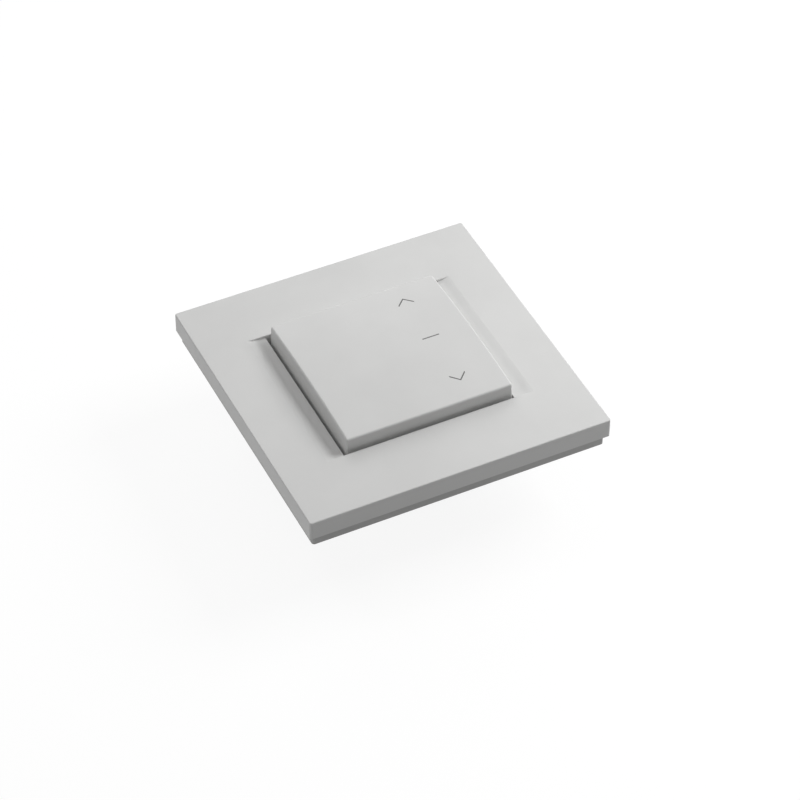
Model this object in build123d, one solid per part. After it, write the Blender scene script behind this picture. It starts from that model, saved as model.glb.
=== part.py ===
from build123d import *
import math
import os

# Flush-mounted blind push button switch, in millimetres.
# +X is right and +Y is up on the wall, +Z comes out of the wall.
# The origin is the middle of the wall plane, midway between the box screws.

# Cover frame: front plate
frame_side = 95.0
frame_height = 10.7
frame_edge_round = 0.35
plate_edge = 6.3
plate_wall = 2.4
window_side = 54.4
window_corner = 0.6
scoop_width = 5.4
scoop_depth = 0.9
collar_side = 7.4
collar_end = 2.2

# Pegs of the front plate, staked behind the carrier frame
peg_side = 2.8
peg_head_side = 4.2
peg_head = 0.9
peg_along = 18.0

# Carrier frame behind the front plate
shadow_inset = 1.25
carrier_corner = 0.9
carrier_edge_cut = 0.6
carrier_rim = 1.9
carrier_web = 1.4
carrier_lip = 1.5
carrier_lip_wall = 1.4
carrier_rib = 1.2
carrier_ribs = 3
carrier_open_step = 0.9
screw_head_room = 2.3

# Support ring, one sheet
ring_side = 71.0
ring_thick = 1.0
ring_cut = 9.0
ring_open = 36.0
ring_open_cut = 8.0
box_screw_spacing = 60.0
box_hole_r = 1.8
box_slot = 6.0
tongue_along = 14.0
tongue_width = 7.0
tongue_height = 3.0
tongue_window = 3.6
tongue_window_height = 1.2

# Insert housing
housing_side = 44.0
housing_depth = 22.0
housing_cut = 5.0
housing_wall = 1.8
housing_floor = 2.0
housing_edge_cut = 0.6

# Insert cover with the rocker's bearings
cover_thick = 2.0
cover_step = 0.5
spigot_wall = 1.5
cheek_thick = 2.5
cheek_root = 9.0
cheek_round = 3.0
guide_wall = 1.0
guide_height = 1.2
stop_inset = 1.7
stop_thick = 1.4
stop_length = 16.0

# Snap arms of the housing, through the ring and over the cover's edge
snap_along = 11.0
snap_width = 5.0
snap_thick = 1.4
snap_hook = 0.8
snap_hook_height = 1.3
snap_hook_land = 0.4
snap_root = 1.0

# Rocker: axle, cradle and key
tilt = 4.0
axle_r = 1.25
hub_r = 2.6
hub_sink = 1.0
hub_half = 15.2
end_play = 0.45
rocker_place = 0.3
cradle_step = 1.7
cradle_y = 37.0
cradle_thick = 2.0
cradle_corner = 3.0
cradle_slot_x = 6.0
cradle_slot_y = 5.0
pad_drop = 1.9
pad_x = 6.0
pad_y = 3.0
key_gap_x = 0.85
key_gap_y = 1.15
key_draft = 1.5
key_rise = 4.2
key_crown = 1.0
key_skirt = 4.1
key_wall = 1.6
key_roof = 2.0
key_edge_break = 0.3
key_rib = 1.2
key_rib_height = 1.6
key_rib_x = 19.0
leg_edge = 2.0
leg_y = 7.0
leg_width = 4.0
leg_thick = 1.5
leg_barb = 0.6
leg_barb_height = 1.4
seat_size = 4.0

# Plungers with their contact bridges and return springs
plunger_offset = 12.0
plunger_x = 6.0
plunger_y = 5.0
plunger_crown_r = 3.2
flange_x = 9.0
flange_y = 8.0
flange_thick = 1.8
flange_to_bridge = 2.0
bridge_thick = 0.6
bridge_width = 3.2
bridge_end = 2.0
bridge_to_seat = 1.6
bridge_tip = 2.2
bridge_tip_height = 0.4
tip_edge = 0.15
spring_length = 8.0
spring_r = 2.15
spring_wire = 0.6
spring_turns = 2.5
pilot_r = 1.4
pilot_length = 1.7
spring_post = 6.4

# Brass strips and the contact tips welded to them
contact_x = 6.0
strip_thick = 0.8
strip_width = 5.0
strip_bend = 1.0
strip_inner = 1.8
strip_tip = 2.8
strip_tip_height = 0.6
terminal_backing = 2.2
terminal_leg_foot = 1.5

# Screwless clamps with their release levers
entry_side = 2.9
entry_mouth = 3.8
support_wall_step = 0.8
support_wall = 1.4
support_wall_end = 4.0
clamp_thick = 0.4
clamp_width = 6.0
clamp_bend = 0.9
clamp_foot = 1.4
clamp_drop = 2.1
clamp_top = 1.8
clamp_tip_drop = 7.4
clamp_tip_gap = 0.3
lever_step = 0.4
lever_thick = 1.6
lever_bar = 2.0
lever_button_x = 3.0
lever_button_y = 6.0
lever_recess = 0.4
lever_finger = 1.3

# Spreading claws with their screws, above and below
claw_thick = 1.0
claw_width = 10.0
claw_bend = 1.3
claw_top = 2.6
claw_tab = 9.6
claw_tab_half = 2.4
claw_spread = 2.2
claw_tip = 15.4
claw_tooth = 2.0
claw_teeth = 3
claw_screw_r = 1.4
claw_screw_end = 14.0
claw_head_r = 2.4
claw_head_rim = 0.5

# Clearances
running = 0.04
slide_gap = 0.15
loose = 0.3
seat = 0.1
axle_fit = 0.02
contact_gap = 0.1
press_gap = 0.15

# Levels and places that follow from the sizes above
plate_back = frame_height - plate_edge
carrier_side = frame_side - 2 * shadow_inset
carrier_open = window_side + 2 * carrier_open_step
recess_side = ring_side + 4 * loose
recess_top = ring_thick + screw_head_room
peg_out = (carrier_side / 2 - carrier_rim + recess_side / 2 + carrier_rim) / 2
key_x = window_side - 2 * key_gap_x
key_y = window_side - 2 * key_gap_y
cover_top = ring_thick + cover_thick
pivot_z = cover_top + hub_r + loose
travel = plunger_offset * math.radians(tilt)
cheek_in = hub_half + end_play
cheek_out = cheek_in + cheek_thick
cradle_x = 2 * (hub_half - cradle_step)
stop_along = cradle_y / 2 - stop_inset
seat_y = cradle_y / 2 - seat_size
leg_x = cradle_x / 2 - leg_edge - leg_width / 2
cradle_back = pivot_z + hub_r - hub_sink
cradle_top = cradle_back + cradle_thick
key_edge_z = frame_height + key_rise
key_crown_z = key_edge_z + key_crown
key_ceiling = key_edge_z - key_roof
key_foot = frame_height - key_skirt
press_level = cradle_back - pad_drop
plunger_top = press_level - press_gap
flange_top = ring_thick - travel - loose
flange_back = flange_top - flange_thick
bridge_top = flange_back - flange_to_bridge
bridge_back = bridge_top - bridge_thick
tip_top = bridge_back - bridge_tip_height - travel - contact_gap
strip_top = tip_top - strip_tip_height
strip_back = strip_top - strip_thick
spring_top = bridge_back - bridge_to_seat
spring_foot = spring_top - spring_length
housing_back = -housing_depth
floor_top = housing_back + housing_floor
pocket_side = housing_side - 2 * housing_wall
snap_in = housing_side / 2 - snap_thick
support_wall_x = contact_x + strip_inner + support_wall_step
support_out = support_wall_x + support_wall
terminal_leg_x = pocket_side / 2 - terminal_backing - strip_thick / 2
leg_in = terminal_leg_x - strip_thick / 2
leg_out = terminal_leg_x + strip_thick / 2
entry_x = leg_in - slide_gap - entry_side / 2
lever_x = (support_out + leg_in) / 2 - lever_step
tongue_out = carrier_open / 2 - loose
tongue_in = tongue_out - ring_thick
claw_y = housing_side / 2 + loose + claw_thick + claw_screw_r + loose
claw_slot_half = claw_screw_r + 3 * loose
claw_tip_y = claw_y + claw_tab_half + claw_spread
sides = (-1, 1)
corners = [(sx, sy) for sx in sides for sy in sides]


def slab(sketch, low, high):
    return extrude(Pos(0, 0, low) * sketch, high - low)


def block(x_low, x_high, y_low, y_high, z_low, z_high):
    middle = Pos((x_low + x_high) / 2, (y_low + y_high) / 2, (z_low + z_high) / 2)
    return middle * Box(x_high - x_low, y_high - y_low, z_high - z_low)


def post(radius, low, high, x=0.0, y=0.0):
    return slab(Pos(x, y) * Circle(radius), low, high)


def cut_square(side, cut):
    square = Rectangle(side, side)
    return chamfer(square.vertices(), cut)


def bent_strip(points, bend, thick, width, plane):
    line = FilletPolyline(*points, radius=bend)
    return extrude(plane * trace(line, line_width=thick), width / 2, both=True)


def peg_places():
    return [(sx * peg_out, sy * peg_along) for sx, sy in corners] + [
        (sx * peg_along, sy * peg_out) for sx, sy in corners
    ]


def snap_way(side, y, low, high):
    x_low, x_high = sorted((side * (snap_in - seat), side * (housing_side / 2 + seat)))
    half = snap_width / 2 + seat
    return block(x_low, x_high, y - half, y + half, low, high)


def snap_places():
    return [(sx, sy * snap_along) for sx, sy in corners]


def contact_tip(side, low, high, worn_side):
    tip = slab(Rectangle(side, side), low, high)
    return chamfer(tip.faces().sort_by(Axis.Z)[worn_side].edges(), tip_edge)


def tongue_places():
    return [(sx, sy * tongue_along) for sx, sy in corners]


def make_cover_frame():
    window = RectangleRounded(window_side, window_side, window_corner)
    frame = slab(Rectangle(frame_side, frame_side), plate_back, frame_height)
    frame = fillet(frame.faces().sort_by(Axis.Z)[-1].edges(), frame_edge_round)
    frame -= slab(window, plate_back, frame_height)
    # The back is a channel between the rim wall and the window's collar.
    pocket_outer = frame_side - 2 * plate_wall
    pocket = Rectangle(pocket_outer, pocket_outer)
    pocket -= Rectangle(window_side + 2 * collar_side, window_side + 2 * collar_end)
    frame -= slab(pocket, plate_back, frame_height - plate_wall)
    # A hollow finger scoop runs down to the window on the left and on the right.
    scoop_r = (scoop_width**2 + scoop_depth**2) / (2 * scoop_depth)
    scoop_axis = Pos(window_side / 2, 0, frame_height - scoop_depth + scoop_r)
    scoop = scoop_axis * Rot(90, 0, 0) * Cylinder(scoop_r, window_side)
    frame -= scoop
    frame -= mirror(scoop, Plane.YZ)
    for x, y in peg_places():
        peg = Pos(x, y) * Rectangle(peg_side, peg_side)
        head = Pos(x, y) * Rectangle(peg_head_side, peg_head_side)
        head_top = plate_back - carrier_web
        frame += slab(peg, head_top, frame_height - plate_wall)
        frame += slab(head, head_top - peg_head, head_top)
    return frame


def carrier_pockets():
    # Open pockets behind the rim, parted by ribs.
    outer = carrier_side - 2 * carrier_rim
    inner = recess_side + 2 * carrier_rim
    pockets = Rectangle(outer, outer) - Rectangle(inner, inner)
    pitch = inner / (carrier_ribs - 1)
    for index in range(carrier_ribs):
        place = (index - (carrier_ribs - 1) / 2) * pitch
        pockets -= Pos(place, 0) * Rectangle(carrier_rib, carrier_side)
        pockets -= Pos(0, place) * Rectangle(carrier_side, carrier_rib)
    return pockets


def make_carrier_frame():
    outline = RectangleRounded(carrier_side, carrier_side, carrier_corner)
    frame = slab(outline, 0, plate_back)
    frame = chamfer(frame.faces().sort_by(Axis.Z)[0].edges(), carrier_edge_cut)
    frame -= slab(Rectangle(carrier_open, carrier_open), 0, plate_back)
    frame -= slab(Rectangle(recess_side, recess_side), 0, recess_top)
    frame -= slab(carrier_pockets(), 0, plate_back - carrier_web)
    # The lip on the front registers inside the front plate's rim wall.
    lip_outer = frame_side - 2 * plate_wall - 2 * slide_gap
    lip_inner = lip_outer - 2 * carrier_lip_wall
    lip = Rectangle(lip_outer, lip_outer) - Rectangle(lip_inner, lip_inner)
    frame += slab(lip, plate_back, plate_back + carrier_lip)
    for x, y in peg_places():
        peg_hole = Rectangle(peg_side + 2 * seat, peg_side + 2 * seat)
        frame -= slab(Pos(x, y) * peg_hole, 0, plate_back)
    # Catches reach through the windows of the ring's tongues.
    catch_z = ring_thick + tongue_height / 2
    half_width = tongue_window / 2 - seat
    half_height = tongue_window_height / 2 - seat
    for side, y in tongue_places():
        x_low, x_high = sorted((side * tongue_in, side * carrier_open / 2))
        frame += block(
            x_low, x_high, y - half_width, y + half_width, catch_z - half_height, catch_z + half_height
        )
        root_low, root_high = sorted((side * carrier_open / 2, side * (carrier_open / 2 + carrier_rim)))
        frame += block(root_low, root_high, y - half_width, y + half_width, catch_z - half_height, plate_back)
    return frame


def make_support_ring():
    ring = slab(cut_square(ring_side, ring_cut) - cut_square(ring_open, ring_open_cut), 0, ring_thick)
    half = box_screw_spacing / 2
    for side in sides:
        ring -= slab(Pos(side * half, 0) * SlotOverall(box_slot, 2 * box_hole_r), 0, ring_thick)
        ring -= post(box_hole_r, 0, ring_thick, 0, side * half)
        claw_slot = Rectangle(2 * (claw_screw_r + loose), 2 * claw_slot_half)
        ring -= slab(Pos(0, side * claw_y) * claw_slot, 0, ring_thick)
    for side, y in snap_places():
        ring -= snap_way(side, y, 0, ring_thick)
    # Each tongue is lanced out of the sheet and bent up, with a window for a catch.
    tongue_top = ring_thick + tongue_height
    window_low = ring_thick + (tongue_height - tongue_window_height) / 2
    window_high = window_low + tongue_window_height
    for side, y in tongue_places():
        y_low, y_high = y - tongue_width / 2, y + tongue_width / 2
        lance_low, lance_high = sorted((side * tongue_out, side * (tongue_out + tongue_height)))
        ring -= block(lance_low, lance_high, y_low, y_high, 0, ring_thick)
        x_low, x_high = sorted((side * tongue_in, side * tongue_out))
        tongue = block(x_low, x_high, y_low, y_high, 0, tongue_top)
        window_y = tongue_window / 2
        tongue -= block(x_low, x_high, y - window_y, y + window_y, window_low, window_high)
        ring += tongue
    return ring


def make_insert_housing():
    housing = slab(cut_square(housing_side, housing_cut), housing_back, 0)
    housing = chamfer(housing.faces().sort_by(Axis.Z)[0].edges(), housing_edge_cut)
    housing -= slab(cut_square(pocket_side, housing_cut - housing_wall / 2), floor_top, 0)
    # Snap arms rise from the side walls and hook over the insert's cover.
    arm_out, hook_in = housing_side / 2, snap_in - snap_hook
    hook_top = cover_top + snap_hook_height
    arm = make_face(
        Polyline(
            (arm_out, -snap_root),
            (arm_out, hook_top),
            (snap_in, hook_top),
            (hook_in, cover_top + snap_hook_land),
            (hook_in, cover_top),
            (snap_in, cover_top),
            (snap_in, -snap_root),
            close=True,
        )
    )
    arm = extrude(Plane.XZ * arm, snap_width / 2, both=True)
    for side, y in snap_places():
        housing += Pos(0, y, 0) * (arm if side > 0 else mirror(arm, Plane.YZ))
    for side in sides:
        y = side * plunger_offset
        seat_post = Pos(0, y) * Rectangle(spring_post, spring_post)
        housing += slab(seat_post, floor_top, spring_foot)
        housing += post(pilot_r, spring_foot, spring_foot + pilot_length, 0, y)
        # Long walls carry the brass strips and back the clamps.
        low, high = sorted((side * support_wall_x, side * support_out))
        reach = plunger_offset + support_wall_end
        housing += block(low, high, -reach, reach, floor_top, strip_back)
    for sx, sy in corners:
        # A rib behind each terminal leg, a wire entry below it.
        low, high = sorted((sx * leg_out, sx * pocket_side / 2))
        y_low = sy * plunger_offset - strip_width / 2
        housing += block(low, high, y_low, y_low + strip_width, floor_top, strip_back)
        mouth = Pos(sx * entry_x, sy * plunger_offset, housing_back) * Rectangle(entry_mouth, entry_mouth)
        throat = Pos(sx * entry_x, sy * plunger_offset, floor_top) * Rectangle(entry_side, entry_side)
        housing -= loft([mouth.face(), throat.face()])
    for side in sides:
        button = Rectangle(lever_button_x + 2 * slide_gap, lever_button_y + 2 * slide_gap)
        housing -= slab(Pos(side * lever_x, 0) * button, housing_back, floor_top)
    return housing


def make_insert_cover():
    outline = cut_square(housing_side - 2 * cover_step, housing_cut)
    cover = slab(outline, ring_thick, cover_top)
    spigot_outer = ring_open - 2 * slide_gap
    spigot = cut_square(spigot_outer, ring_open_cut)
    spigot -= cut_square(spigot_outer - 2 * spigot_wall, ring_open_cut - spigot_wall / 2)
    cover += slab(spigot, 0, ring_thick)
    # Two bearing cheeks with a round head about the axle.
    cheek_face = make_face(
        Polyline(
            (-cheek_root / 2, ring_thick),
            (cheek_root / 2, ring_thick),
            (cheek_round, pivot_z),
            (-cheek_round, pivot_z),
            close=True,
        )
    )
    cheek_face += Pos(0, pivot_z) * Circle(cheek_round)
    cheek_face -= Pos(0, pivot_z) * Circle(axle_r + axle_fit)
    for side in sides:
        cheek = extrude(Plane.YZ * cheek_face, cheek_thick)
        cover += Pos(cheek_in if side > 0 else -cheek_out, 0, 0) * cheek
        y = side * plunger_offset
        collar = Rectangle(
            plunger_x + 2 * slide_gap + 2 * guide_wall, plunger_y + 2 * slide_gap + 2 * guide_wall
        )
        cover += slab(Pos(0, y) * collar, cover_top, cover_top + guide_height)
        way = Rectangle(plunger_x + 2 * slide_gap, plunger_y + 2 * slide_gap)
        cover -= slab(Pos(0, y) * way, 0, cover_top + guide_height)
        # A stop rib catches the end of the cradle at full tilt.
        stop_top = cradle_back - (stop_along + stop_thick) * math.sin(math.radians(tilt)) - loose
        stop = Pos(0, side * stop_along) * Rectangle(stop_length, stop_thick)
        cover += slab(stop, cover_top, stop_top)
    for side, y in snap_places():
        cover -= snap_way(side, y, ring_thick, cover_top)
    return cover


def make_axle():
    return Pos(0, 0, pivot_z) * Rot(0, 90, 0) * Cylinder(axle_r, 2 * cheek_out)


def make_cradle():
    plate = RectangleRounded(cradle_x, cradle_y, cradle_corner)
    for sx, sy in corners:
        slot = Rectangle(leg_width + 2 * slide_gap, leg_thick + leg_barb + 2 * slide_gap)
        plate -= Pos(sx * leg_x, sy * (leg_y + leg_barb / 2)) * slot
    for side in sides:
        opening = Rectangle(cradle_slot_x, cradle_slot_y)
        plate -= Pos(0, side * (leg_y - leg_thick)) * opening
    cradle = slab(plate, cradle_back, cradle_top)
    hub = Pos(0, 0, pivot_z) * Rot(0, 90, 0) * Cylinder(hub_r, 2 * hub_half)
    cradle += hub
    for side in sides:
        cradle += slab(Pos(0, side * plunger_offset) * Rectangle(pad_x, pad_y), press_level, cradle_back)
    cradle -= Pos(0, 0, pivot_z) * Rot(0, 90, 0) * Cylinder(axle_r + running, 2 * cheek_out)
    return cradle


def make_key():
    half_y = key_y / 2
    flare = (key_edge_z - key_foot) * math.tan(math.radians(key_draft))
    foot_face = Pos(0, 0, key_foot) * Rectangle(key_x + 2 * flare, key_y + 2 * flare)
    key = extrude(foot_face, key_crown_z + key_crown - key_foot, taper=key_draft)
    crown_r = (half_y**2 + key_crown**2) / (2 * key_crown)
    key &= Pos(0, 0, key_crown_z - crown_r) * Rot(0, 90, 0) * Cylinder(crown_r, frame_side)
    key = chamfer(key.faces().sort_by(Axis.Z)[-1].edges(), key_edge_break)
    inside = Rectangle(key_x - 2 * key_wall, key_y - 2 * key_wall)
    key -= slab(inside, key_foot, key_ceiling)
    inner_y = half_y - key_wall
    for side in sides:
        x = side * key_rib_x
        rib_low = key_ceiling - key_rib_height
        key += block(x - key_rib / 2, x + key_rib / 2, -inner_y, inner_y, rib_low, key_ceiling)
    # Seats stand on the cradle, and barbed legs clip through its slots.
    leg = make_face(
        Polyline(
            (leg_y - leg_thick / 2, key_ceiling),
            (leg_y + leg_thick / 2, key_ceiling),
            (leg_y + leg_thick / 2, cradle_back - seat),
            (leg_y + leg_thick / 2 + leg_barb, cradle_back - seat),
            (leg_y + leg_thick / 2, cradle_back - seat - leg_barb_height),
            (leg_y - leg_thick / 2, cradle_back - seat - leg_barb_height),
            close=True,
        )
    )
    leg = extrude(Plane.YZ * leg, leg_width / 2, both=True)
    for sx, sy in corners:
        key += Pos(sx * leg_x, 0, 0) * (leg if sy > 0 else mirror(leg, Plane.XZ))
        foot = Pos(sx * leg_x, sy * seat_y) * Rectangle(seat_size, seat_size)
        key += slab(foot, cradle_top, key_ceiling)
    return key


def make_plunger(side):
    half = plunger_y / 2
    shoulder = plunger_top - plunger_crown_r + math.sqrt(plunger_crown_r**2 - half**2)
    crown = ThreePointArc((-half, shoulder), (0, plunger_top), (half, shoulder))
    walls = Polyline((half, shoulder), (half, spring_top), (-half, spring_top), (-half, shoulder))
    stem = extrude(Plane.YZ * make_face([*crown.edges(), *walls.edges()]), plunger_x / 2, both=True)
    stem += slab(Rectangle(flange_x, flange_y), flange_back, flange_top)
    stem += post(pilot_r, spring_top - pilot_length, spring_top)
    way = bridge_width / 2 + seat
    stem -= block(-plunger_x, plunger_x, -way, way, bridge_back, bridge_top + seat)
    return Pos(0, side * plunger_offset, 0) * stem


def make_bridge(side):
    half = contact_x + bridge_end
    bridge = block(-half, half, -bridge_width / 2, bridge_width / 2, bridge_back, bridge_top)
    tip = contact_tip(bridge_tip, bridge_back - bridge_tip_height, bridge_back, 0)
    for end in sides:
        bridge += Pos(end * contact_x, 0, 0) * tip
    return Pos(0, side * plunger_offset, 0) * bridge


def make_return_spring(side):
    pitch = spring_length / spring_turns
    path = Helix(pitch, spring_length + spring_wire, spring_r)
    section = Plane(path @ 0, z_dir=path % 0) * Rectangle(spring_wire, spring_wire)
    coil = Pos(0, 0, spring_foot - spring_wire / 2) * sweep(section, path=path, is_frenet=True)
    coil &= post(spring_r + spring_wire, spring_foot, spring_top)
    return Pos(0, side * plunger_offset, 0) * coil


def strip_arm(sx, sy):
    level = (strip_top + strip_back) / 2
    inner = contact_x - strip_inner
    points = [(inner, level), (terminal_leg_x, level), (terminal_leg_x, floor_top + terminal_leg_foot)]
    arm = bent_strip(points, strip_bend, strip_thick, strip_width, Plane.XZ)
    arm = Pos(0, sy * plunger_offset, 0) * arm
    return arm if sx > 0 else mirror(arm, Plane.YZ)


def make_busbar():
    low, high = -contact_x - strip_inner, -contact_x + strip_inner
    reach = plunger_offset - strip_width / 2
    bar = block(low, high, -reach, reach, strip_back, strip_top)
    return bar + strip_arm(-1, 1) + strip_arm(-1, -1)


def make_fixed_contacts():
    tip = contact_tip(strip_tip, strip_top, tip_top, -1)
    places = [(sx * contact_x, sy * plunger_offset) for sx, sy in corners]
    return Compound([Pos(x, y, 0) * tip for x, y in places])


def make_clamps(side):
    back_x = support_out + clamp_thick / 2
    crest = strip_back - clamp_drop
    tip_x = leg_in - clamp_tip_gap - clamp_thick / 2
    points = [
        (back_x, floor_top + clamp_foot),
        (back_x, crest),
        (back_x + clamp_top, crest),
        (tip_x, strip_back - clamp_tip_drop),
    ]
    clamp = bent_strip(points, clamp_bend, clamp_thick, clamp_width, Plane.XZ)
    if side < 0:
        clamp = mirror(clamp, Plane.YZ)
    return Compound([Pos(0, sy * plunger_offset, 0) * clamp for sy in sides])


def make_lever(side):
    # A button in the back, a bar inside, and a finger under each clamp.
    bar_low = floor_top + seat
    bar_high = bar_low + lever_bar
    finger_out = plunger_offset - entry_side / 2 - seat
    finger_in = finger_out - lever_finger
    # The fingers stop short of the slanted arm of the clamps.
    crest_x = support_out + clamp_thick / 2 + clamp_top
    tip_x = leg_in - clamp_tip_gap - clamp_thick / 2
    slope = (clamp_tip_drop - clamp_drop) / (tip_x - crest_x)
    finger_x = lever_x + lever_thick / 2
    arm_z = strip_back - clamp_drop - slope * (finger_x - crest_x)
    finger_top = arm_z - clamp_thick / 2 * math.hypot(1, slope) - loose
    half = lever_thick / 2
    lever = block(-half, half, -finger_out, finger_out, bar_low, bar_high)
    for end in sides:
        y_low, y_high = sorted((end * finger_in, end * finger_out))
        lever += block(-half, half, y_low, y_high, bar_low, finger_top)
    button = Rectangle(lever_button_x, lever_button_y)
    lever += slab(button, housing_back + lever_recess, bar_low)
    return Pos(side * lever_x, 0, 0) * lever


def make_claw(side):
    inner_y = housing_side / 2 + loose + claw_thick / 2
    points = [
        (inner_y, -claw_top),
        (inner_y, -claw_tab),
        (claw_y + claw_tab_half, -claw_tab),
        (claw_tip_y, -claw_tip),
    ]
    claw = bent_strip(points, claw_bend, claw_thick, claw_width, Plane.YZ)
    claw -= post(claw_screw_r + running, -claw_tab - claw_thick, -claw_tab + claw_thick, 0, claw_y)
    # Notches between the teeth at the tip.
    pitch = claw_width / claw_teeth
    mouth = -claw_tip - claw_tooth / 2
    notch = make_face(
        Polyline((-pitch / 2, mouth), (0, -claw_tip + claw_tooth), (pitch / 2, mouth), close=True)
    )
    for index in range(1, claw_teeth):
        place = index * pitch - claw_width / 2
        claw -= extrude(Plane.XZ * Pos(place, 0) * notch, 2 * claw_tip_y, both=True)
    return claw if side > 0 else mirror(claw, Plane.XZ)


def make_claw_screw(side):
    head_low = ring_thick - seat
    cone = claw_head_r - claw_screw_r
    profile = make_face(
        Polyline(
            (0, -claw_screw_end),
            (claw_screw_r, -claw_screw_end),
            (claw_screw_r, head_low),
            (claw_head_r, head_low + cone),
            (claw_head_r, head_low + cone + claw_head_rim),
            (0, head_low + cone + claw_head_rim),
            close=True,
        )
    )
    screw = revolve(Plane.XZ * profile, Axis.Z)
    return Pos(0, side * claw_y, 0) * screw


# Cradle and key stand a little to the right in their end play on the axle.
pieces = {
    "cover_frame": make_cover_frame(),
    "carrier_frame": make_carrier_frame(),
    "support_ring": make_support_ring(),
    "insert_housing": make_insert_housing(),
    "insert_cover": make_insert_cover(),
    "rocker_axle": make_axle(),
    "rocker_cradle": Pos(rocker_place, 0, 0) * make_cradle(),
    "key": Pos(rocker_place, 0, 0) * make_key(),
    "up_plunger": make_plunger(1),
    "down_plunger": make_plunger(-1),
    "up_contact_bridge": make_bridge(1),
    "down_contact_bridge": make_bridge(-1),
    "up_return_spring": make_return_spring(1),
    "down_return_spring": make_return_spring(-1),
    "common_busbar": make_busbar(),
    "up_terminal": strip_arm(1, 1),
    "down_terminal": strip_arm(1, -1),
    "fixed_contacts": make_fixed_contacts(),
    "left_clamp_springs": make_clamps(-1),
    "right_clamp_springs": make_clamps(1),
    "left_release_lever": make_lever(-1),
    "right_release_lever": make_lever(1),
    "upper_claw": make_claw(1),
    "lower_claw": make_claw(-1),
    "upper_claw_screw": make_claw_screw(1),
    "lower_claw_screw": make_claw_screw(-1),
}

os.makedirs("parts", exist_ok=True)
for name, shape in pieces.items():
    export_step(shape, f"parts/{name}.step")
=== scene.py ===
import math

import bpy
from mathutils import Matrix, Vector


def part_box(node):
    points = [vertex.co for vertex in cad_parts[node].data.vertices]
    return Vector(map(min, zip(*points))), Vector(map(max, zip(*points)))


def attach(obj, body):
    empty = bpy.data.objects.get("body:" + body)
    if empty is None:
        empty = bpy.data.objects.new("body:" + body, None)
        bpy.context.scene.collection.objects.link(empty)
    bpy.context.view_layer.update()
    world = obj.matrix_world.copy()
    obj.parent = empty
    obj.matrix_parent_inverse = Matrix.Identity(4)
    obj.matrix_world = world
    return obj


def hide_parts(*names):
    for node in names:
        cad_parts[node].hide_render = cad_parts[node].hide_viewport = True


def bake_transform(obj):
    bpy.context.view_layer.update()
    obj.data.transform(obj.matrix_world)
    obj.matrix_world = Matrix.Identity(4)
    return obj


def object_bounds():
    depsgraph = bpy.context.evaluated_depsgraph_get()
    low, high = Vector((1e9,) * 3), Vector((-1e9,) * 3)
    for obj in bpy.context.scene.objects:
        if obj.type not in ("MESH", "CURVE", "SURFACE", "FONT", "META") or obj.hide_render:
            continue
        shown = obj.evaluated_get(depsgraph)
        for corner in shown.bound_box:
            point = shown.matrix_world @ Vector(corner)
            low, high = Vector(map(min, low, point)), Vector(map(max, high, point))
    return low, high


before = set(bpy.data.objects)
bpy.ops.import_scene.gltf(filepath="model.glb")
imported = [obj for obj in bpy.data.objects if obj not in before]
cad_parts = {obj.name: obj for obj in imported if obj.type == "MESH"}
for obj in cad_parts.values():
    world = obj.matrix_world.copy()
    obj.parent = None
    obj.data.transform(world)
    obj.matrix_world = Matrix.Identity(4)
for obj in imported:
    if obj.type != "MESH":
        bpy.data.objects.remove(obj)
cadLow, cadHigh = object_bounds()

# Blind push button switch: front plate, crowned key with its signs, and the insert behind them.
# Metres in the switch's own frame: +X right, +Y up the wall, +Z out of the wall. Looks are given in mm.
mm = 0.001
tiny = 0.001 * mm        # points closer than this count as one
spare = 1 * mm           # how far a cutting tool stands out of what it cuts
sunk = 0.5 * mm          # how far a joined part goes into what carries it
facing = 0.9             # least share of a normal along an axis for a face to point that way
smoothAngle = 32         # degrees between two faces, up to which their edge is shaded smooth
evenWeight = 60          # how strongly large faces set the shading at their edges


# small tools for modelling
def activate(piece):
    if bpy.context.mode != "OBJECT":
        bpy.ops.object.mode_set(mode="OBJECT")
    bpy.ops.object.select_all(action="DESELECT")
    bpy.context.view_layer.objects.active = piece
    piece.select_set(True)


def takeNew(name, scale=(1, 1, 1)):
    # name what was just added, and make its place, turn and size its own
    piece = bpy.context.active_object
    piece.name = piece.data.name = name
    piece.scale = scale
    bpy.ops.object.transform_apply(location=True, rotation=True, scale=True)
    return piece


def startBlock(name, low, high):
    low, high = Vector(low), Vector(high)
    bpy.ops.mesh.primitive_cube_add(size=1, location=(low + high) / 2)
    return takeNew(name, high - low)


def shiftBy(piece, shift):
    activate(piece)
    bpy.ops.transform.translate(value=shift)
    bpy.ops.object.transform_apply(location=True)


def copyPiece(piece, name, shift):
    activate(piece)
    bpy.ops.object.duplicate()
    twin = bpy.context.active_object
    twin.name = twin.data.name = name
    shiftBy(twin, shift)
    return twin


def sliceAt(piece, axis, places):
    activate(piece)
    bpy.ops.object.mode_set(mode="EDIT")
    normal = [float(axis == i) for i in range(3)]
    for place in places:
        bpy.ops.mesh.select_all(action="SELECT")
        bpy.ops.mesh.bisect(plane_co=[place * n for n in normal], plane_no=normal)
    bpy.ops.object.mode_set(mode="OBJECT")


def pickEdges(piece, test):
    activate(piece)
    bpy.ops.object.mode_set(mode="EDIT")
    bpy.ops.mesh.select_mode(type="EDGE")
    bpy.ops.mesh.select_all(action="DESELECT")
    bpy.ops.object.mode_set(mode="OBJECT")
    verts = piece.data.vertices
    for edge in piece.data.edges:
        edge.select = test(*[verts[i].co for i in edge.vertices])
    bpy.ops.object.mode_set(mode="EDIT")


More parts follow.
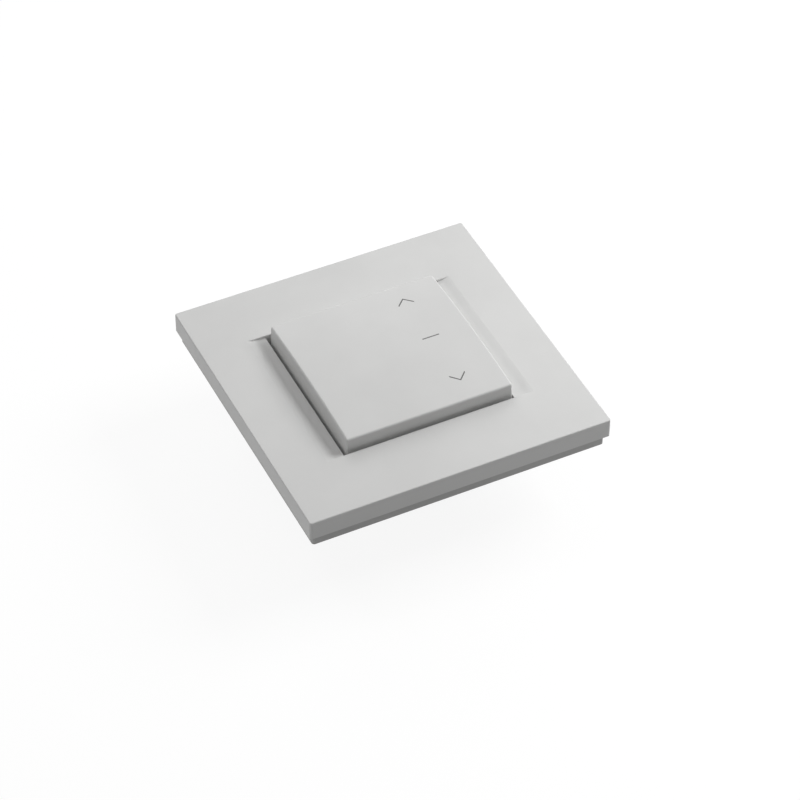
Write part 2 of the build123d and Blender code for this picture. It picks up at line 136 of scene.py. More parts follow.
def pickFaces(piece, test):
    activate(piece)
    bpy.ops.object.mode_set(mode="EDIT")
    bpy.ops.mesh.select_mode(type="FACE")
    bpy.ops.mesh.select_all(action="DESELECT")
    bpy.ops.object.mode_set(mode="OBJECT")
    for face in piece.data.polygons:
        face.select = test(face.center, face.normal)
    bpy.ops.object.mode_set(mode="EDIT")


def growPicked(move):
    bpy.ops.mesh.extrude_region_move(TRANSFORM_OT_translate={"value": move})


def roundPicked(width, steps):
    bpy.ops.mesh.bevel(offset=width, segments=steps, affect="EDGES", clamp_overlap=False)
    bpy.ops.object.mode_set(mode="OBJECT")


def combine(piece, tool, operation):
    activate(piece)
    change = piece.modifiers.new("change", "BOOLEAN")
    change.object = tool
    change.operation = operation
    change.solver = "EXACT"
    bpy.ops.object.modifier_apply(modifier=change.name)
    bpy.data.objects.remove(tool, do_unlink=True)


def smoothOff(piece):
    activate(piece)
    bpy.ops.object.shade_smooth_by_angle(angle=math.radians(smoothAngle))
    even = piece.modifiers.new("even", "WEIGHTED_NORMAL")
    even.keep_sharp = True
    even.weight = evenWeight
    bpy.ops.object.modifier_apply(modifier=even.name)


def isUpright(a, b):
    return abs(a.x - b.x) + abs(a.y - b.y) < tiny


# front plate: a shallow cap with a square window and a finger scoop on its left and right
plateLook = {
    "edge": 6.3,             # height of the visible edge
    "corner": 0.7,
    "cornerSteps": 6,
    "topRound": 0.35,
    "topSteps": 5,
    "wall": 2.4,
    "window": 54.4,
    "windowRound": 0.22,     # soft edge along the top and bottom of the window and its scoops
    "windowSteps": 6,
    "collarSide": 7.4,       # solid land around the window, behind the scoops
    "collarEnd": 2.2,
    "scoopWidth": 5.2,
    "scoopDepth": 0.9,
    "scoopBlend": 0.4,       # drop over which the scoop's outer edge runs out
    "scoopEnd": 0.7,         # share of that drop, above the face, where the run-out ends
    "scoopStrips": 30,
    "peg": 2.8,
    "pegStart": 3.0,
    "pegHead": 4.2,
    "pegHeadHeight": 0.9,
    "pegHeadRound": 0.3,
    "pegHeadSteps": 3,
    "pegOut": 41.175,
    "pegAlong": 18.0,
}


def scoopLevel(x, top):
    # a hollow arc, level at the window, that runs out softly into the face
    look = plateLook
    width, depth, blend = (look[part] * mm for part in ("scoopWidth", "scoopDepth", "scoopBlend"))
    radius = (width ** 2 + depth ** 2) / (2 * depth)
    out = x - look["window"] / 2 * mm
    rise = radius - math.sqrt(radius ** 2 - out ** 2) - depth
    if rise <= -blend:
        return top + rise
    end = look["scoopEnd"] * blend
    soft = min(rise, end)
    return top + min(soft, 0) - (blend - abs(soft)) ** 2 / (4 * blend) + max(rise - end, 0)


def flare(z, top):
    # how far a rounded edge has opened at a level
    r = plateLook["windowRound"] * mm
    if z <= top - r:
        return 0.0
    if z >= top:
        return r + (z - top)
    return r - math.sqrt(max(r * r - (z - top + r) ** 2, 0.0))


def makeWindowTool(low, top):
    look = plateLook
    edge = look["window"] / 2 * mm
    lip = top - look["scoopDepth"] * mm
    tool = startBlock("windowTool", (-edge, -edge, low - spare), (edge, edge, top + spare))
    sliceAt(tool, 2, [lip])
    reach = look["scoopWidth"] * mm + 2 * spare
    for side in (-1, 1):
        pickFaces(tool, lambda c, n: n.x * side > facing and c.z > lip)
        growPicked((side * reach, 0, 0))
        bpy.ops.object.mode_set(mode="OBJECT")
    stations = [edge + reach * i / look["scoopStrips"] for i in range(1, look["scoopStrips"])]
    sliceAt(tool, 0, stations + [-x for x in stations])
    for vert in tool.data.vertices:
        if abs(vert.co.x) > edge + tiny and abs(vert.co.z - lip) < tiny:
            vert.co.z = scoopLevel(abs(vert.co.x), top)
    r = look["windowRound"] * mm
    turns = [math.pi / 2 * i / look["windowSteps"] for i in range(look["windowSteps"] + 1)]
    sliceAt(tool, 2, [top - r + r * math.sin(turn) for turn in turns])
    for vert in tool.data.vertices:
        vert.co.y += math.copysign(flare(vert.co.z, top), vert.co.y)
    return tool


def makePeg(x, y, top):
    look = plateLook
    neck, head = look["peg"] / 2 * mm, look["pegHead"] / 2 * mm
    start = look["pegStart"] * mm
    foot = start - look["pegHeadHeight"] * mm
    peg = startBlock("peg", (x - neck, y - neck, start), (x + neck, y + neck, top))
    cap = startBlock("cap", (x - head, y - head, foot), (x + head, y + head, start))
    pickEdges(cap, lambda a, b: max(a.z, b.z) < start - tiny)
    roundPicked(look["pegHeadRound"] * mm, look["pegHeadSteps"])
    combine(peg, cap, "UNION")
    return peg


def makePlate():
    look = plateLook
    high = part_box("cover_frame")[1]
    half, top = high.x, high.z
    back = top - look["edge"] * mm
    plate = startBlock("front_plate", (-half, -half, back), (half, half, top))
    pickEdges(plate, isUpright)
    roundPicked(look["corner"] * mm, look["cornerSteps"])
    pickEdges(plate, lambda a, b: min(a.z, b.z) > top - tiny)
    roundPicked(look["topRound"] * mm, look["topSteps"])
    # channel in the back, between the rim wall and the land round the window
    inner = half - look["wall"] * mm
    edge = look["window"] / 2 * mm
    ceiling = top - look["wall"] * mm
    channel = startBlock("channel", (-inner, -inner, back - spare), (inner, inner, ceiling))
    landX, landY = edge + look["collarSide"] * mm, edge + look["collarEnd"] * mm
    land = startBlock("land", (-landX, -landY, back - 2 * spare), (landX, landY, top))
    combine(channel, land, "DIFFERENCE")
    combine(plate, channel, "DIFFERENCE")
    combine(plate, makeWindowTool(back, top), "DIFFERENCE")
    # pegs that are staked behind the rear frame
    out, along = look["pegOut"] * mm, look["pegAlong"] * mm
    places = [(sx * out, sy * along) for sx in (-1, 1) for sy in (-1, 1)]
    places += [(y, x) for x, y in places]
    for x, y in places:
        combine(plate, makePeg(x, y, ceiling + sunk), "UNION")
    smoothOff(plate)
    return plate


# key: one crowned cap, hollow behind, with ribs, seats and clip legs
keyLook = {
    "corner": 0.65,
    "cornerSteps": 6,
    "edgeRound": 0.58,
    "edgeSteps": 7,
    "draft": 1.5,            # degrees the skirt opens towards its foot
    "crown": 1.0,
    "strips": 48,            # strips across the crown
    "skirt": 4.1,            # how far the key reaches down into the window
    "roof": 2.0,
    "wall": 1.6,
    "ribX": 19.0,
    "rib": 1.2,
    "ribHeight": 1.6,
    "seat": 4.0,
    "seatY": 14.5,
    "legX": 9.5,             # seats and legs stand in line
    "legY": 7.0,
    "legWidth": 4.0,
    "legThick": 1.5,
    "barb": 0.6,
    "barbHeight": 1.4,
    "legDrop": 0.1,          # play between the barb and the cradle
    "cradle": 2.0,
}


def crownLevel(y, halfY, top):
    rise = keyLook["crown"] * mm
    radius = (halfY ** 2 + rise ** 2) / (2 * rise)
    return top - radius + math.sqrt(radius ** 2 - y ** 2)


def makeLeg(x, side, catch, top):
    look = keyLook
    wide, thick = look["legWidth"] / 2 * mm, look["legThick"] / 2 * mm
    y, foot = side * look["legY"] * mm, catch - look["barbHeight"] * mm
    leg = startBlock("leg", (x - wide, y - thick, foot), (x + wide, y + thick, top))
    sliceAt(leg, 2, [catch])
    pickFaces(leg, lambda c, n: n.y * side > facing and c.z < catch)
    growPicked((0, side * look["barb"] * mm, 0))
    bpy.ops.object.mode_set(mode="OBJECT")
    outer = y + side * thick
    for vert in leg.data.vertices:
        if vert.co.z < foot + tiny and (vert.co.y - outer) * side > tiny:
            vert.co.y = outer      # the barb runs out to a wedge at the foot
    bpy.ops.object.mode_set(mode="EDIT")
    bpy.ops.mesh.select_all(action="SELECT")
    bpy.ops.mesh.remove_doubles(threshold=tiny)
    bpy.ops.object.mode_set(mode="OBJECT")
    return leg


def addKeyRoots(key, ceiling, innerY):
    # ribs under the roof, seats that stand on the cradle, and barbed legs that clip through its slots
    look = keyLook
    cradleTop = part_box("rocker_cradle")[1].z
    catch = cradleTop - (look["cradle"] + look["legDrop"]) * mm
    root = ceiling + sunk
    ends = innerY + sunk
    for sx in (-1, 1):
        x, half = sx * look["ribX"] * mm, look["rib"] / 2 * mm
        low = ceiling - look["ribHeight"] * mm
        combine(key, startBlock("rib", (x - half, -ends, low), (x + half, ends, root)), "UNION")
        x = sx * look["legX"] * mm
        for sy in (-1, 1):
            y, half = sy * look["seatY"] * mm, look["seat"] / 2 * mm
            seat = startBlock("seat", (x - half, y - half, cradleTop), (x + half, y + half, root))
            combine(key, seat, "UNION")
            combine(key, makeLeg(x, sy, catch, root), "UNION")


def makeKey():
    look = keyLook
    low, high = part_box("key")
    top = high.z
    edgeLevel = top - look["crown"] * mm
    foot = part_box("cover_frame")[1].z - look["skirt"] * mm
    flareOut = (edgeLevel - foot) * math.tan(math.radians(look["draft"]))
    halfX, halfY = (high.x - low.x) / 2 - flareOut, high.y - flareOut
    corner = look["corner"] * mm
    key = startBlock("rocker_key", (-halfX, -halfY, foot), (halfX, halfY, edgeLevel))
    pickEdges(key, isUpright)
    roundPicked(corner, look["cornerSteps"])
    flat = halfY - corner
    sliceAt(key, 1, [flat * (2 * i / look["strips"] - 1) for i in range(look["strips"] + 1)])
    for vert in key.data.vertices:
        if vert.co.z > edgeLevel - tiny:
            vert.co.z = crownLevel(vert.co.y, halfY, top)

    def onRim(point):
        return abs(point.x) > halfX - corner - tiny or abs(point.y) > flat + tiny

    def isTopRim(a, b):
        if min(a.z, b.z) < edgeLevel - tiny:
            return False
        across = abs(a.y - b.y) < tiny and abs(a.x - b.x) > 2 * corner
        return onRim(a) and onRim(b) and not (across and abs(a.y) < halfY - tiny)

    pickEdges(key, isTopRim)
    roundPicked(look["edgeRound"] * mm, look["edgeSteps"])
    for vert in key.data.vertices:
        if vert.co.z < foot + tiny:
            vert.co.x += math.copysign(flareOut, vert.co.x)
            vert.co.y += flareOut * max(-1, min(1, vert.co.y / flat))
    innerX, innerY = halfX - look["wall"] * mm, halfY - look["wall"] * mm
    ceiling = edgeLevel - look["roof"] * mm
    inside = startBlock("inside", (-innerX, -innerY, foot - spare), (innerX, innerY, ceiling))
    combine(key, inside, "DIFFERENCE")
    addKeyRoots(key, ceiling, innerY)
    shiftBy(key, ((low.x + high.x) / 2, 0, 0))
    smoothOff(key)
    return key


# signs on the key: an up arrow, a stop bar and a down arrow, printed in thin lines
signLook = {
    "centreX": 13.55,
    "arrowWidth": 5.0,
    "stopWidth": 5.35,
    "rise": 2.45,
    "line": 0.38,
    "ink": 0.03,
    "cuts": 5,               # cuts that let a sign follow the crown
    "upY": 17.1,
    "stopY": 1.05,
    "downY": -15.9,
}


def makeSign(name, y, width, rise, key):
    look = signLook
    low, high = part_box("key")
    x, y = (low.x + high.x) / 2 + look["centreX"] * mm, y * mm
    half, rise = width / 2 * mm, rise * mm
    line = look["line"] * mm * math.hypot(half, rise) / half     # a slanted line is taller than it is thick
    bpy.ops.mesh.primitive_plane_add(size=1, location=(x - half / 2, y, high.z + spare))
    sign = takeNew(name, (half, line, 1))
    pickEdges(sign, lambda a, b: min(a.x, b.x) > x - tiny)
    growPicked((half, 0, 0))
    pickEdges(sign, lambda a, b: abs(a.x - x) + abs(b.x - x) < tiny)
    bpy.ops.transform.translate(value=(0, rise, 0))
    bpy.ops.mesh.select_all(action="SELECT")
    bpy.ops.mesh.subdivide(number_cuts=look["cuts"])
    bpy.ops.object.mode_set(mode="OBJECT")
    drop = sign.modifiers.new("drop", "SHRINKWRAP")
    drop.target = key
    drop.wrap_method = "PROJECT"
    drop.use_project_z = True
    drop.use_negative_direction = True
    drop.use_positive_direction = False
    bpy.ops.object.modifier_apply(modifier=drop.name)
    ink = sign.modifiers.new("ink", "SOLIDIFY")
    ink.thickness = look["ink"] * mm
    ink.offset = 0
    bpy.ops.object.modifier_apply(modifier=ink.name)
    smoothOff(sign)
    return sign


# claw screws: countersunk, threaded up to a bare neck, with a slot and a cross recess for the driver
screwLook = {
    "crest": 1.4,
    "threadDepth": 0.26,
    "pitch": 0.5,
    "rings": 8,              # rings of points in a turn of the thread
    "ringGroups": 4,         # the rings are cut in two rounds, since one round makes 100 cuts at most
    "around": 24,
    "neck": 1.2,
    "head": 2.4,
    "rim": 0.5,
    "slot": (0.6, 5.2, 0.7),
    "cross": (2.8, 0.6, 0.9),
}


def threadRadius(point, length):
    # sharp ridges that climb one pitch a turn, with a bevelled point and a run-out at the neck
    look = screwLook
    pitch, crest, depth = (look[part] * mm for part in ("pitch", "crest", "threadDepth"))
    turn = point.z / pitch - math.atan2(point.y, point.x) / (2 * math.pi)
    groove = depth * (1 - abs(2 * (turn % 1) - 1)) * min(1, (length - point.z) / pitch)
    return min(crest - groove, crest - depth + point.z)


def makeScrew(name, node):
    look = screwLook
    low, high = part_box(node)
    tall = high.z - low.z
    neck, crest, head, rim = (look[part] * mm for part in ("neck", "crest", "head", "rim"))
    length = tall - rim - (head - crest) - neck
    bpy.ops.mesh.primitive_cylinder_add(
        vertices=look["around"], radius=crest, depth=length, location=(0, 0, length / 2))
    screw = takeNew(name)
    groups = look["ringGroups"]
    groupRings = round(length / (look["pitch"] * mm) * look["rings"] / groups)
    for parts in (groups, groupRings):
        pickEdges(screw, isUpright)
        bpy.ops.mesh.subdivide(number_cuts=parts - 1)
    bpy.ops.object.mode_set(mode="OBJECT")
    for vert in screw.data.vertices:
        vert.co.xy *= threadRadius(vert.co, length) / vert.co.xy.length
    # neck, cone and rim grow from the top face
    pickFaces(screw, lambda c, n: n.z > facing and c.z > length - tiny)
    level, radius = length, crest
    for rise, width in ((neck, crest), (head - crest, head), (rim, head)):
        level += rise
        grow = width / radius
        radius = width
        growPicked((0, 0, rise))
        bpy.ops.transform.resize(value=(grow, grow, 1), center_override=(0, 0, level))
    bpy.ops.object.mode_set(mode="OBJECT")
    for part in ("slot", "cross"):
        wide, long, deep = (size * mm for size in look[part])
        tool = startBlock(part, (-wide / 2, -long / 2, tall - deep), (wide / 2, long / 2, tall + deep))
        combine(screw, tool, "DIFFERENCE")
    shiftBy(screw, ((low.x + high.x) / 2, (low.y + high.y) / 2, low.z))
    smoothOff(screw)
    return screw


# wire clamps: a pair of bent spring strips, each bent into a leg, a level crest and a sloping arm
clampLook = {
    "thick": 0.4,
    "width": 6.0,
    "bend": 0.9,
    "bendSteps": 5,
    "crest": 1.8,            # level stretch between the leg and the arm
    "armOut": 4.7,
    "armDrop": 5.3,
    "armCuts": 14,
    "lift": 2.0,             # stretch of the arm, from the crest on, that bends up under the lever
}


def makeClamps(name, node, side):
    look = clampLook
    low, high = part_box(node)
    thick, width, crest, bend = (look[part] * mm for part in ("thick", "width", "crest", "bend"))
    armOut, armDrop = look["armOut"] * mm, look["armDrop"] * mm
    inner = min(abs(low.x), abs(high.x)) + thick / 2
    legX, crestX = side * inner, side * (inner + crest)
    y, level = high.y - width / 2, high.z - thick / 2
    bpy.ops.mesh.primitive_plane_add(size=1, location=((legX + crestX) / 2, y, level))
    strip = takeNew(name, (crest, width, 1))

    def isBend(x):
        return lambda a, b: abs(a.x - x) + abs(b.x - x) + abs(a.z - level) + abs(b.z - level) < tiny

    legRun = (legX, (0, 0, low.z - level), math.pi / 2)
    armRun = (crestX, (side * armOut, 0, -armDrop), math.atan2(armDrop, armOut))
    for x, run, angle in (legRun, armRun):
        pickEdges(strip, isBend(x))
        growPicked(run)
        pickEdges(strip, isBend(x))
        roundPicked(bend * math.tan(angle / 2), look["bendSteps"])
    pickEdges(strip, lambda a, b: abs(a.x - b.x) > crest)
    bpy.ops.mesh.subdivide(number_cuts=look["armCuts"])
    bpy.ops.object.mode_set(mode="OBJECT")
    wall = strip.modifiers.new("wall", "SOLIDIFY")
    wall.thickness = thick
    wall.offset = 0
    wall.use_even_offset = True
    bpy.ops.object.modifier_apply(modifier=wall.name)
    smoothOff(strip)
    twin = copyPiece(strip, name + "_twin", (0, low.y + width / 2 - y, 0))
    activate(strip)
    twin.select_set(True)
    bpy.ops.object.join()
    return strip, crestX


# return springs: coils of round wire, ground flat at both ends
springLook = {
    "coil": 2.15,            # radius of the wire's middle
    "wire": 0.6,
    "turns": 2.5,
    "wireSides": 12,
    "turnSteps": 28,
}


def makeSpring(name, node):
    look = springLook
    low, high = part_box(node)
    coil, wire = look["coil"] * mm, look["wire"] * mm
    length = high.z - low.z
    tall = length + 2 * wire      # ground down to its length below
    turns = look["turns"] * tall / length
    bpy.ops.mesh.primitive_circle_add(vertices=look["wireSides"], radius=wire / 2,
                                      location=(coil, 0, -wire), rotation=(math.pi / 2, 0, 0))
    spring = takeNew(name)
    wind = spring.modifiers.new("wind", "SCREW")
    wind.angle = 2 * math.pi * turns
    wind.screw_offset = tall
    wind.steps = wind.render_steps = round(look["turnSteps"] * turns)
    bpy.ops.object.modifier_apply(modifier=wind.name)
    bpy.ops.object.mode_set(mode="EDIT")
    for level, atFoot in ((0, True), (length, False)):
        bpy.ops.mesh.select_all(action="SELECT")
        bpy.ops.mesh.bisect(plane_co=(0, 0, level), plane_no=(0, 0, 1),
                            clear_inner=atFoot, clear_outer=not atFoot, use_fill=True)
    bpy.ops.mesh.select_all(action="SELECT")
    bpy.ops.mesh.normals_make_consistent(inside=False)
    bpy.ops.object.mode_set(mode="OBJECT")
    shiftBy(spring, ((low.x + high.x) / 2, (low.y + high.y) / 2, low.z))
    smoothOff(spring)
    return spring


plate = makePlate()
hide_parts("cover_frame")
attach(plate, "insert")
print("front plate:", len(plate.data.polygons), "faces")

key = makeKey()
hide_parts("key")
signs = [
    makeSign("up_sign", signLook["upY"], signLook["arrowWidth"], signLook["rise"], key),
    makeSign("stop_sign", signLook["stopY"], signLook["stopWidth"], 0, key),
    makeSign("down_sign", signLook["downY"], signLook["arrowWidth"], -signLook["rise"], key),
]
for piece in [key, *signs]:
    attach(piece, "rocker")
print("key:", len(key.data.polygons), "faces, with", len(signs), "signs")

upperScrew = makeScrew("upper_screw", "upper_claw_screw")
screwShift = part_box("lower_claw_screw")[0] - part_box("upper_claw_screw")[0]
screws = [upperScrew, copyPiece(upperScrew, "lower_screw", screwShift)]
for side, screw in zip(("upper", "lower"), screws):
    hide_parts(side + "_claw_screw")
    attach(screw, side + "_claw_set")
print("claw screws:", len(upperScrew.data.polygons), "faces each")

clamps = []
for name, side in (("left", -1), ("right", 1)):
    clamp, crestX = makeClamps(name + "_clamps", name + "_clamp_springs", side)
    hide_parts(name + "_clamp_springs")
    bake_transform(clamp)
    clamps.append(clamp)
print("wire clamps:", len(clamps[0].data.polygons), "faces a pair")

upSpring = makeSpring("up_spring", "up_return_spring")
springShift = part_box("down_return_spring")[0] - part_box("up_return_spring")[0]
springs = [upSpring, copyPiece(upSpring, "down_spring", springShift)]
for name, spring in zip(("up", "down"), springs):
    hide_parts(name + "_return_spring")
    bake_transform(spring)
print("return springs:", len(upSpring.data.polygons), "faces each")


# materials
def hexToLinear(code):
    channels = [int(code[i:i + 2], 16) / 255 for i in (1, 3, 5)]
    return [c / 12.92 if c <= 0.04045 else ((c + 0.055) / 1.055) ** 2.4 for c in channels] + [1]


def addNode(tree, kind, settings, links=()):
    node = tree.nodes.new(kind)
    for name, value in settings.items():
        if name in node.inputs:
            node.inputs[name].default_value = value
        else:
            setattr(node, name, value)
    for name, source in dict(links).items():
        tree.links.new(source, node.inputs[name])
    return node


def startMaterial(name, settings):
    material = bpy.data.materials.new(name)
    material.use_nodes = True
    tree = material.node_tree
    shader = tree.nodes["Principled BSDF"]
    for socket, value in settings.items():
        shader.inputs[socket].default_value = value
    return material, tree, shader


plasticLooks = {
    # satin moulded ABS: even light grey with a soft sheen, its eroded grain drawn coarser than 0.1 mm
    "satinAbs": {"tones": ("#D0D0CF", "#D4D4D3"), "roughness": (0.40, 0.47), "ior": 1.53,
                 "grain": 0.30, "grainDepth": 0.0012, "cloud": 22},
    # the rear frame is the same moulding compound, left a little duller; its darker tones are painted
    # shade, where it lies under the plate's edge
    "dullAbsPaintedShade": {"tones": ("#B2B2B1", "#B8B8B7"), "roughness": (0.50, 0.58), "ior": 1.53,
                "grain": 0.35, "grainDepth": 0.0015, "cloud": 18},
    # natural acetal: milky white, slick, with faint flow clouds
    "naturalAcetal": {"tones": ("#D9D8D0", "#E6E5DE"), "roughness": (0.28, 0.38), "ior": 1.48,
                      "grain": 0.5, "grainDepth": 0.001, "cloud": 6},
    # glass-filled polyamide: dark grey with pale fibre mottling and a dry skin
    "filledPolyamide": {"tones": ("#47494C", "#5B5E62"), "roughness": (0.48, 0.66), "ior": 1.53,
                        "grain": 0.22, "grainDepth": 0.004, "cloud": 3},
    # orange polyamide of the release levers: strong colour, semi-matt
    "orangePolyamide": {"tones": ("#D2691E", "#E07B2C"), "roughness": (0.38, 0.48), "ior": 1.53,
                        "grain": 0.3, "grainDepth": 0.002, "cloud": 4},
}
plasticPattern = {"cloudDetail": 3.0, "tonePlaces": (0.35, 0.65), "grainDetail": 2.0, "grainStrength": 1.0}


def mouldedPlastic(name):
    look, pattern = plasticLooks[name], plasticPattern
    material, tree, shader = startMaterial(name, {"IOR": look["ior"]})
    place = addNode(tree, "ShaderNodeTexCoord", {}).outputs["Object"]
    cloudScale, grainScale = 1 / (look["cloud"] * mm), 1 / (look["grain"] * mm)
    cloud = addNode(tree, "ShaderNodeTexNoise", {"Scale": cloudScale, "Detail": pattern["cloudDetail"]},
                    {"Vector": place})
    tint = addNode(tree, "ShaderNodeValToRGB", {}, {"Fac": cloud.outputs["Fac"]})
    for stop, spot, tone in zip(tint.color_ramp.elements, pattern["tonePlaces"], look["tones"]):
        stop.position = spot
        stop.color = hexToLinear(tone)
    grain = addNode(tree, "ShaderNodeTexNoise", {"Scale": grainScale, "Detail": pattern["grainDetail"]},
                    {"Vector": place}).outputs["Fac"]
    sheen, dull = look["roughness"]
    gloss = addNode(tree, "ShaderNodeMapRange", {"To Min": sheen, "To Max": dull}, {"Value": grain})
    depth = look["grainDepth"] * mm
    bump = addNode(tree, "ShaderNodeBump", {"Strength": pattern["grainStrength"], "Distance": depth},
                   {"Height": grain})
    tree.links.new(tint.outputs["Color"], shader.inputs["Base Color"])
    tree.links.new(gloss.outputs["Result"], shader.inputs["Roughness"])
    tree.links.new(bump.outputs["Normal"], shader.inputs["Normal"])
    return material


metalLooks = {
    # zinc-plated sheet: cool silver with a cloudy blue and straw passivation and faint rolling lines
    "zincSheet": {"tones": ("#A9AFB8", "#C9C8BE"), "roughness": (0.26, 0.42),
                  "lines": (0.25, 8, 8), "cloud": 5},
    # bright drawn steel: clean grey with fine lines along its length
    "drawnSteel": {"tones": ("#9FA1A4", "#B9BBBD"), "roughness": (0.20, 0.32),
                   "lines": (6, 0.2, 0.2), "cloud": 3},
    # stainless spring strip and wire: darker, smooth, with fine cross lines
    "springSteel": {"tones": ("#8E9092", "#A6A7A8"), "roughness": (0.18, 0.30),
                    "lines": (4, 0.15, 4), "cloud": 4},
    # rolled brass strip: warm yellow, slightly tarnished in clouds
    "rolledBrass": {"tones": ("#B48A45", "#D3AC62"), "roughness": (0.22, 0.38),
                    "lines": (0.3, 6, 6), "cloud": 4},
    # silver contact tips: pale, soft lustre
    "contactSilver": {"tones": ("#C9C6BE", "#DEDCD6"), "roughness": (0.24, 0.36),
                      "lines": (0.2, 0.2, 3), "cloud": 1.5},
}
metalPattern = {"cloudDetail": 4.0, "tonePlaces": (0.3, 0.7), "lineScale": 1.0, "lineDetail": 3.0,
                "lineStrength": 0.4, "lineDepth": 0.004}


def workedMetal(name):
    look, pattern = metalLooks[name], metalPattern
    material, tree, shader = startMaterial(name, {"Metallic": 1.0})
    place = addNode(tree, "ShaderNodeTexCoord", {}).outputs["Object"]
    cloudScale = 1 / (look["cloud"] * mm)
    cloud = addNode(tree, "ShaderNodeTexNoise", {"Scale": cloudScale, "Detail": pattern["cloudDetail"]},
                    {"Vector": place})
    tint = addNode(tree, "ShaderNodeValToRGB", {}, {"Fac": cloud.outputs["Fac"]})
    for stop, spot, tone in zip(tint.color_ramp.elements, pattern["tonePlaces"], look["tones"]):
        stop.position = spot
        stop.color = hexToLinear(tone)
    stretch = [1 / (size * mm) for size in look["lines"]]
    along = addNode(tree, "ShaderNodeMapping", {"Scale": stretch}, {"Vector": place})
    lines = addNode(tree, "ShaderNodeTexNoise",
                    {"Scale": pattern["lineScale"], "Detail": pattern["lineDetail"]},
                    {"Vector": along.outputs["Vector"]}).outputs["Fac"]
    sheen, dull = look["roughness"]
    gloss = addNode(tree, "ShaderNodeMapRange", {"To Min": sheen, "To Max": dull}, {"Value": lines})
    depth = pattern["lineDepth"] * mm
    bump = addNode(tree, "ShaderNodeBump", {"Strength": pattern["lineStrength"], "Distance": depth},
                   {"Height": lines})
    tree.links.new(tint.outputs["Color"], shader.inputs["Base Color"])
    tree.links.new(gloss.outputs["Result"], shader.inputs["Roughness"])
    tree.links.new(bump.outputs["Normal"], shader.inputs["Normal"])
    return material


inkLook = {"tones": ("#5E5E5E", "#6A6A6A"), "tonePlaces": (0.3, 0.7), "roughness": 0.6,
           "speck": 0.12, "speckDetail": 2.0}


def printedInk():
    # pad-printed grey ink: matt, slightly uneven where the film is thin
    look = inkLook
    material, tree, shader = startMaterial("printedInk", {"Roughness": look["roughness"]})
    place = addNode(tree, "ShaderNodeTexCoord", {}).outputs["Object"]
    speckScale = 1 / (look["speck"] * mm)
    film = addNode(tree, "ShaderNodeTexNoise", {"Scale": speckScale, "Detail": look["speckDetail"]},
                   {"Vector": place})
    tint = addNode(tree, "ShaderNodeValToRGB", {}, {"Fac": film.outputs["Fac"]})
    for stop, spot, tone in zip(tint.color_ramp.elements, look["tonePlaces"], look["tones"]):
        stop.position = spot
        stop.color = hexToLinear(tone)
    tree.links.new(tint.outputs["Color"], shader.inputs["Base Color"])
    return material


def dress(piece, material):
    piece.data.materials.clear()
    piece.data.materials.append(material)


finishes = {name: mouldedPlastic(name) for name in plasticLooks}
finishes.update({name: workedMetal(name) for name in metalLooks})
ink = printedInk()
for piece in (plate, key):
    dress(piece, finishes["satinAbs"])
for sign in signs:
    dress(sign, ink)
for screw in screws:
    dress(screw, finishes["drawnSteel"])
for spring in (*clamps, *springs):
    dress(spring, finishes["springSteel"])
nodeFinishes = {
    # the rear frame's darker tones are painted shade
    "dullAbsPaintedShade": ["carrier_frame"],
    "naturalAcetal": ["rocker_cradle", "up_plunger", "down_plunger"],
    "filledPolyamide": ["insert_housing", "insert_cover"],
    "orangePolyamide": ["left_release_lever", "right_release_lever"],
    "zincSheet": ["support_ring", "upper_claw", "lower_claw"],
    "drawnSteel": ["rocker_axle"],
    "rolledBrass": ["common_busbar", "up_terminal", "down_terminal"],
    "contactSilver": ["up_contact_bridge", "down_contact_bridge", "fixed_contacts"],
}
for finish, nodes in nodeFinishes.items():
    for node in nodes:
        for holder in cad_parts[node].material_slots:
            holder.material = finishes[finish]
print("materials:", len(bpy.data.materials))

# camera at the photograph's viewing angle
cameraLook = {
    "azimuth": -26.491,
    "elevation": 44.409,
    "roll": 0.614,
    "distance": 936.8,
    "target": (-3.42, -14.01, 10.7),
    "lens": 146.6,
    "sensor": 36,
    "nearest": 10,
}


def addCamera():
    look = cameraLook
    a, e, r = (math.radians(look[angle]) for angle in ("azimuth", "elevation", "roll"))
    back = Vector((math.sin(a) * math.cos(e), -math.cos(a) * math.cos(e), math.sin(e)))
    level = Vector((math.cos(a), math.sin(a), 0))
    upright = back.cross(level)
    right = level * math.cos(r) + upright * math.sin(r)
    up = upright * math.cos(r) - level * math.sin(r)
    bpy.ops.object.camera_add()
    camera = bpy.context.active_object
    camera.matrix_world = Matrix((right, up, back)).transposed().to_4x4()
    camera.location = (Vector(look["target"]) + back * look["distance"]) * mm
    camera.data.lens = look["lens"]
    camera.data.sensor_width = look["sensor"]
    camera.data.clip_start = look["nearest"] * mm
    bpy.context.scene.camera = camera


# studio: pale floor under the switch, white surroundings, a soft box on the right and weaker lights around
studioLook = {
    "skyTone": "#FFFFFF",
    "skyGlow": 1.0,              # what the camera sees of the surroundings
    "ambient": 0.16,             # what they throw on the switch
    "floorTone": "#C8C8C8",      # what the floor throws back on the switch
    "floorGlow": 0.9,            # what the camera sees of the floor before its light and shadow
    "floorShade": "#656565",
    "floorSize": 6.0,            # metres
}
# places and sizes in metres, power in watts
lampLooks = {
    "softBox": {"spot": (0.375, 0.0, 0.33), "size": 0.27, "power": 1.87},
    "backLight": {"spot": (0.07, 0.82, 0.57), "size": 0.5, "power": 1.5},
    "edgeLight": {"spot": (0.62, 0.58, 0.32), "size": 0.25, "power": 0.65},
    "highLight": {"spot": (-0.4, 0.5, 0.95), "size": 0.4, "power": 1.65},
    "leftFill": {"spot": (-0.85, -0.25, 0.45), "size": 0.6, "power": 1.35},
}


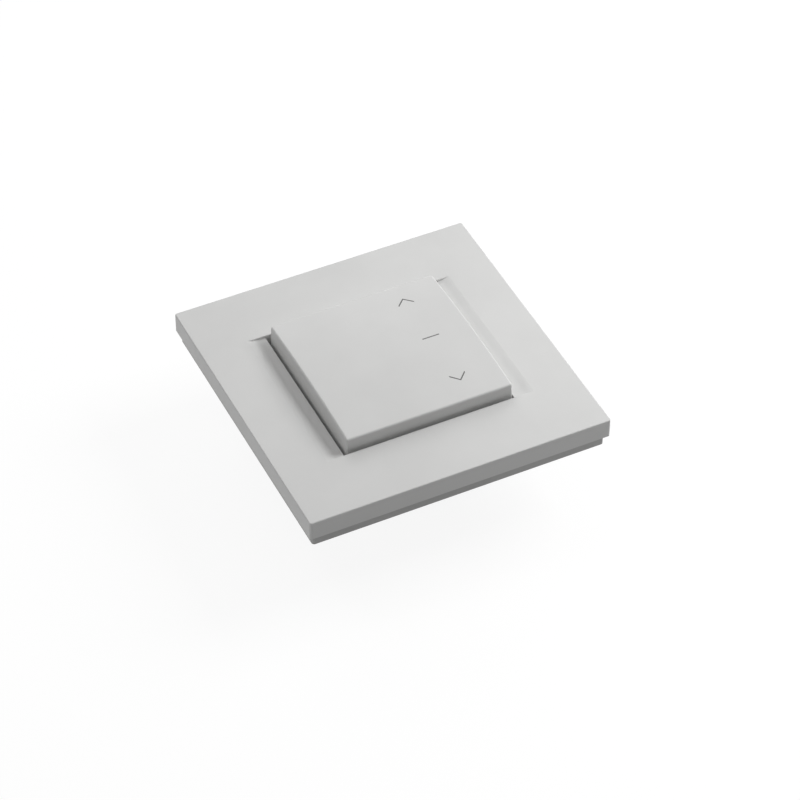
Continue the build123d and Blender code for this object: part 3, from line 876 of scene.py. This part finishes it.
def seenDirectly(tree):
    # 1 for what the camera sees, by itself, in a reflection or through glass
    rays = addNode(tree, "ShaderNodeLightPath", {}).outputs
    opaque = addNode(tree, "ShaderNodeMath", {"operation": "MAXIMUM"},
                     {0: rays["Is Camera Ray"], 1: rays["Is Glossy Ray"]})
    seen = addNode(tree, "ShaderNodeMath", {"operation": "MAXIMUM"},
                   {0: opaque.outputs[0], 1: rays["Is Transmission Ray"]})
    return seen.outputs[0]


def addWorld():
    look = studioLook
    world = bpy.data.worlds.new("studio")
    world.use_nodes = True
    tree = world.node_tree
    tree.nodes.clear()
    tone = hexToLinear(look["skyTone"])
    soft = addNode(tree, "ShaderNodeBackground", {"Color": tone, "Strength": look["ambient"]})
    white = addNode(tree, "ShaderNodeBackground", {"Color": tone, "Strength": look["skyGlow"]})
    sky = addNode(tree, "ShaderNodeMixShader", {},
                  {0: seenDirectly(tree), 1: soft.outputs[0], 2: white.outputs[0]})
    addNode(tree, "ShaderNodeOutputWorld", {}, {"Surface": sky.outputs[0]})
    bpy.context.scene.world = world


def addFloor():
    look = studioLook
    bpy.ops.mesh.primitive_plane_add(size=look["floorSize"], location=(0, 0, cadLow.z))
    floor = bpy.context.active_object
    floor.name = "floor"
    material = bpy.data.materials.new("paleFloor")
    material.use_nodes = True
    tree = material.node_tree
    tree.nodes.clear()
    bounce = addNode(tree, "ShaderNodeBsdfDiffuse", {"Color": hexToLinear(look["floorTone"])})
    shade = addNode(tree, "ShaderNodeBsdfDiffuse", {"Color": hexToLinear(look["floorShade"])})
    tone = hexToLinear(look["skyTone"])
    glow = addNode(tree, "ShaderNodeEmission", {"Color": tone, "Strength": look["floorGlow"]})
    lit = addNode(tree, "ShaderNodeAddShader", {}, {0: shade.outputs[0], 1: glow.outputs[0]})
    shown = addNode(tree, "ShaderNodeMixShader", {},
                    {0: seenDirectly(tree), 1: bounce.outputs[0], 2: lit.outputs[0]})
    addNode(tree, "ShaderNodeOutputMaterial", {}, {"Surface": shown.outputs[0]})
    floor.data.materials.append(material)


def addLamp(name):
    look = lampLooks[name]
    bpy.ops.object.light_add(type="AREA", location=look["spot"])
    lamp = bpy.context.active_object
    lamp.name = name
    lamp.data.size = look["size"]
    lamp.data.energy = look["power"]
    lamp.rotation_euler = (-Vector(look["spot"])).to_track_quat("-Z", "Y").to_euler()


addCamera()
addWorld()
addFloor()
for name in lampLooks:
    addLamp(name)
bpy.context.scene.view_settings.view_transform = "Standard"
print("studio ready:", len(lampLooks), "lamps")
